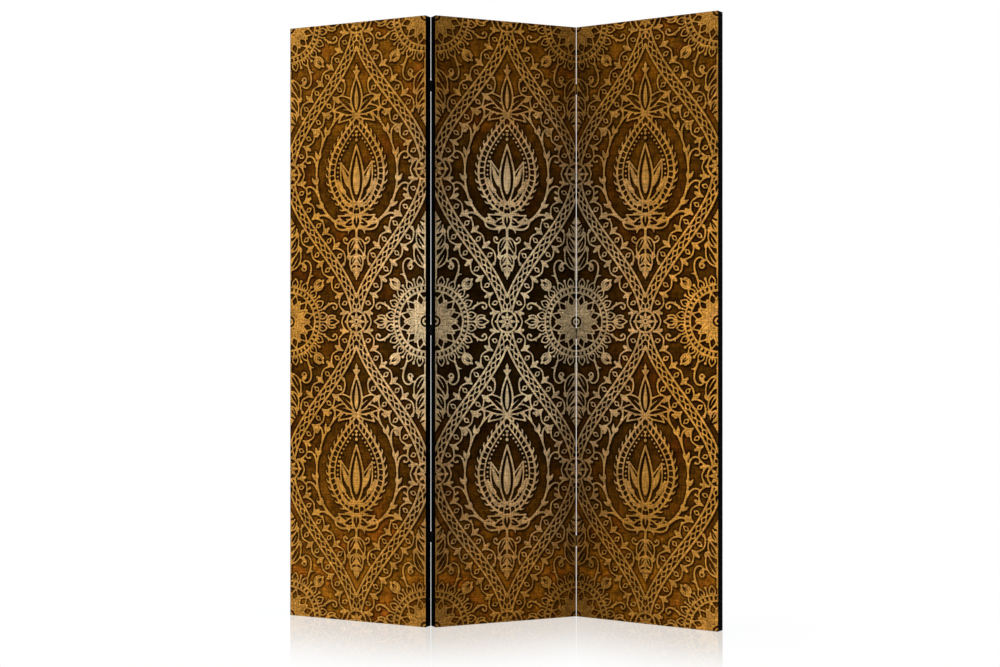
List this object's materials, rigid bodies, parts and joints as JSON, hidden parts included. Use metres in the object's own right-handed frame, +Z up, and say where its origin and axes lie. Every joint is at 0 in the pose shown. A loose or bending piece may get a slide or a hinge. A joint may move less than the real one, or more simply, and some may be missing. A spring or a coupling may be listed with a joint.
{
  "type": "room divider",
  "caption": "Free-standing folding screen of printed canvas panels stretched on timber frames, joined by small butt hinges so that it folds in a zigzag.",
  "frame": {"origin": "centre of the underside of the middle panel, on the floor", "axes": "+Z up; +X along the middle panel to the right as seen from the printed side; the middle panel's printed face looks towards -Y"},
  "size_m": [1.0111, 0.7719, 1.72],
  "materials": {
    "printed_canvas": "matt printed poly-cotton canvas, golden line ornament on dark brown, black edges",
    "backing_cloth": "black non-woven cloth",
    "pine": "planed, unfinished pine",
    "beech": "unfinished beech dowel",
    "staple_steel": "zinc-plated wire",
    "hinge_steel": "black, satin",
    "pin_steel": "black, satin",
    "screw_steel": "black, satin"
  },
  "bodies": {
    "middle_panel": {"left_fold_inner_screws": "screw_steel", "left_fold_lower_hinge_inner_leaf": "hinge_steel", "left_fold_lower_hinge_pin": "pin_steel", "left_fold_middle_hinge_inner_leaf": "hinge_steel", "left_fold_middle_hinge_pin": "pin_steel", "left_fold_upper_hinge_inner_leaf": "hinge_steel", "left_fold_upper_hinge_pin": "pin_steel", "middle_panel_backing_cloth": "backing_cloth", "middle_panel_backing_staples": "staple_steel", "middle_panel_bottom_rail": "pine", "middle_panel_canvas_staples": "staple_steel", "middle_panel_dowels": "beech", "middle_panel_left_stile": "pine", "middle_panel_lower_cross_rail": "pine", "middle_panel_printed_canvas": "printed_canvas", "middle_panel_right_stile": "pine", "middle_panel_top_rail": "pine", "middle_panel_upper_cross_rail": "pine", "right_fold_inner_screws": "screw_steel", "right_fold_lower_hinge_inner_leaf": "hinge_steel", "right_fold_lower_hinge_pin": "pin_steel", "right_fold_middle_hinge_inner_leaf": "hinge_steel", "right_fold_middle_hinge_pin": "pin_steel", "right_fold_upper_hinge_inner_leaf": "hinge_steel", "right_fold_upper_hinge_pin": "pin_steel"},
    "left_panel": {"left_fold_lower_hinge_outer_leaf": "hinge_steel", "left_fold_middle_hinge_outer_leaf": "hinge_steel", "left_fold_outer_screws": "screw_steel", "left_fold_upper_hinge_outer_leaf": "hinge_steel", "left_panel_backing_cloth": "backing_cloth", "left_panel_backing_staples": "staple_steel", "left_panel_bottom_rail": "pine", "left_panel_canvas_staples": "staple_steel", "left_panel_dowels": "beech", "left_panel_left_stile": "pine", "left_panel_lower_cross_rail": "pine", "left_panel_printed_canvas": "printed_canvas", "left_panel_right_stile": "pine", "left_panel_top_rail": "pine", "left_panel_upper_cross_rail": "pine"},
    "right_panel": {"right_fold_lower_hinge_outer_leaf": "hinge_steel", "right_fold_middle_hinge_outer_leaf": "hinge_steel", "right_fold_outer_screws": "screw_steel", "right_fold_upper_hinge_outer_leaf": "hinge_steel", "right_panel_backing_cloth": "backing_cloth", "right_panel_backing_staples": "staple_steel", "right_panel_bottom_rail": "pine", "right_panel_canvas_staples": "staple_steel", "right_panel_dowels": "beech", "right_panel_left_stile": "pine", "right_panel_lower_cross_rail": "pine", "right_panel_printed_canvas": "printed_canvas", "right_panel_right_stile": "pine", "right_panel_top_rail": "pine", "right_panel_upper_cross_rail": "pine"}
  },
  "joints": [
    {"name": "left_fold", "type": "hinge", "parent": "middle_panel", "child": "left_panel", "pos_m": [-0.2252, 0.0164, 0], "axis": [0, 0, -1], "range_deg": [-52, 128]},
    {"name": "right_fold", "type": "hinge", "parent": "middle_panel", "child": "right_panel", "pos_m": [0.2252, -0.0164, 0], "axis": [0, 0, -1], "range_deg": [-59, 121]}
  ]
}
